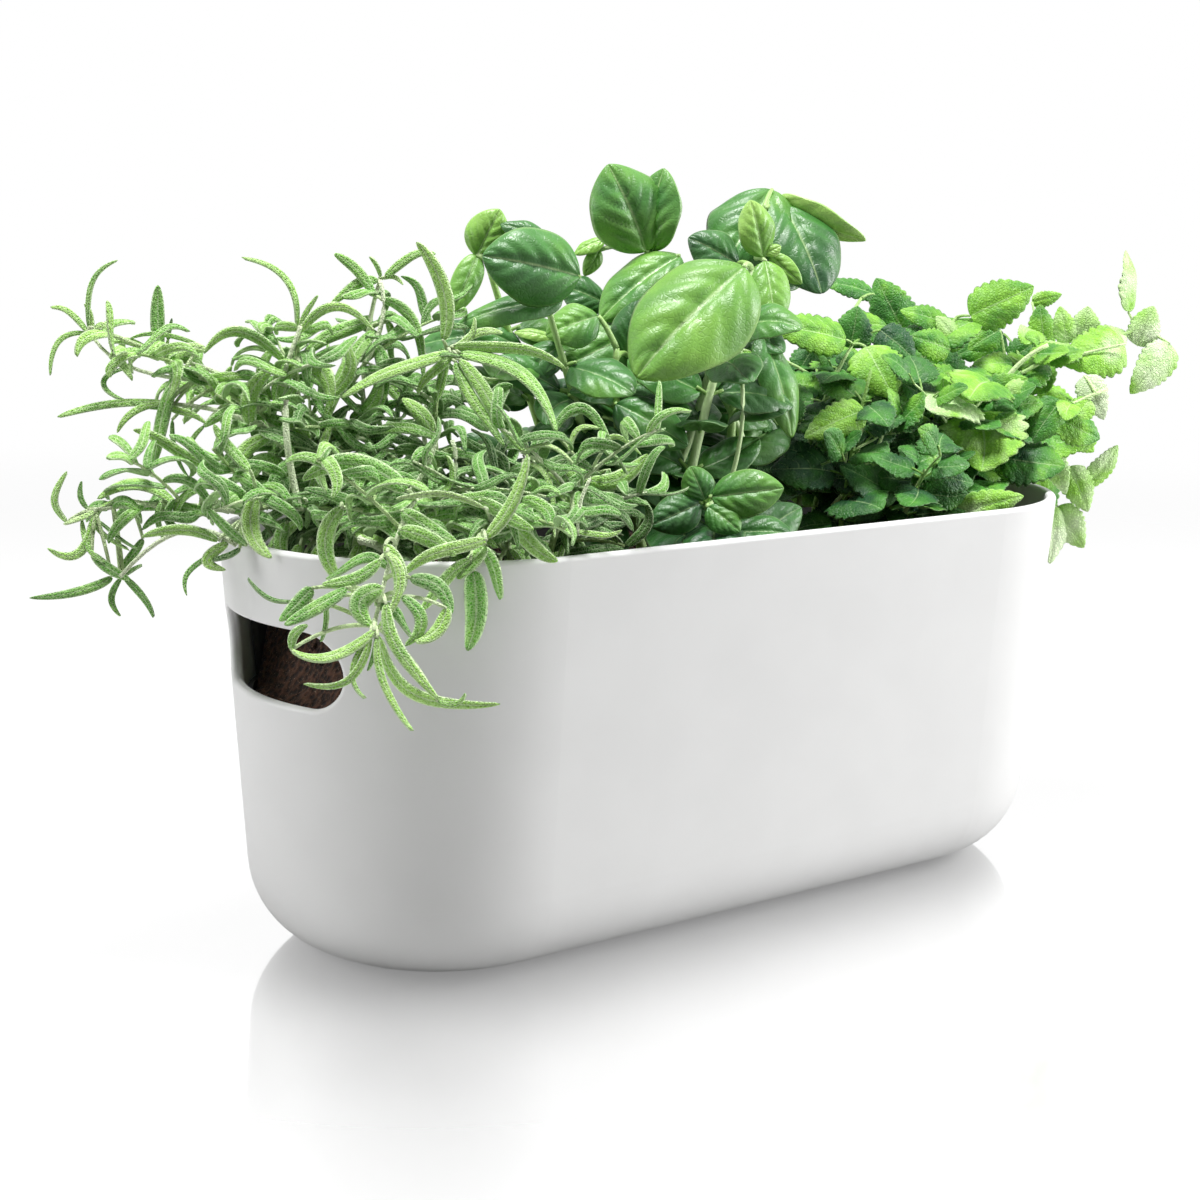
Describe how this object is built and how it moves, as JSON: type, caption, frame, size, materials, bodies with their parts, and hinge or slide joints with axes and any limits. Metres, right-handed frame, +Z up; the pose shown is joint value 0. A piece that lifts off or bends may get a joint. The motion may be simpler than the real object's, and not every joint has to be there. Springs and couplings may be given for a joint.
{
  "type": "indoor herb planter",
  "caption": "Stadium-shaped trough with a hand slot in each end and a lift-out self-watering tray, planted with rosemary, basil and lemon balm.",
  "frame": {"origin": "middle of the face that the trough stands on", "axes": "+Z up, +X along the trough from the rosemary to the lemon balm, -Y towards the side that the picture shows"},
  "size_m": [0.4809, 0.1894, 0.2791],
  "materials": {
    "shell_plastic": "matte",
    "liner_plastic": "satin",
    "wick_cord": "matte",
    "root_mat": "matte",
    "soil": "matte",
    "rosemary_leaf": "matte",
    "basil_leaf": "satin",
    "lemon_balm_leaf": "matte"
  },
  "bodies": {
    "shell": {"outer_shell": "shell_plastic"},
    "insert": {"planting_liner": "liner_plastic", "wick_left": "wick_cord", "wick_middle": "wick_cord", "wick_right": "wick_cord", "root_ball_rosemary": "root_mat", "root_ball_basil": "root_mat", "root_ball_lemon_balm": "root_mat", "potting_soil": "soil", "rosemary_sprig_1": "rosemary_leaf", "rosemary_sprig_2": "rosemary_leaf", "rosemary_sprig_3": "rosemary_leaf", "rosemary_sprig_4": "rosemary_leaf", "rosemary_sprig_5": "rosemary_leaf", "rosemary_sprig_6": "rosemary_leaf", "rosemary_sprig_7": "rosemary_leaf", "rosemary_sprig_8": "rosemary_leaf", "rosemary_sprig_9": "rosemary_leaf", "rosemary_sprig_10": "rosemary_leaf", "rosemary_sprig_11": "rosemary_leaf", "rosemary_sprig_12": "rosemary_leaf", "rosemary_sprig_13": "rosemary_leaf", "rosemary_sprig_14": "rosemary_leaf", "basil_sprig_1": "basil_leaf", "basil_sprig_2": "basil_leaf", "basil_sprig_3": "basil_leaf", "basil_sprig_4": "basil_leaf", "basil_sprig_5": "basil_leaf", "basil_sprig_6": "basil_leaf", "basil_sprig_7": "basil_leaf", "basil_sprig_8": "basil_leaf", "lemon_balm_sprig_1": "lemon_balm_leaf", "lemon_balm_sprig_2": "lemon_balm_leaf", "lemon_balm_sprig_3": "lemon_balm_leaf", "lemon_balm_sprig_4": "lemon_balm_leaf", "lemon_balm_sprig_5": "lemon_balm_leaf", "lemon_balm_sprig_6": "lemon_balm_leaf", "lemon_balm_sprig_7": "lemon_balm_leaf", "lemon_balm_sprig_8": "lemon_balm_leaf", "lemon_balm_sprig_9": "lemon_balm_leaf", "lemon_balm_sprig_10": "lemon_balm_leaf", "lemon_balm_sprig_11": "lemon_balm_leaf", "lemon_balm_sprig_12": "lemon_balm_leaf", "lemon_balm_sprig_13": "lemon_balm_leaf"}
  },
  "joints": [
    {"name": "insert_lift", "type": "slide", "parent": "shell", "child": "insert", "axis": [0, 0, 1], "range_m": [0, 0.15]}
  ]
}
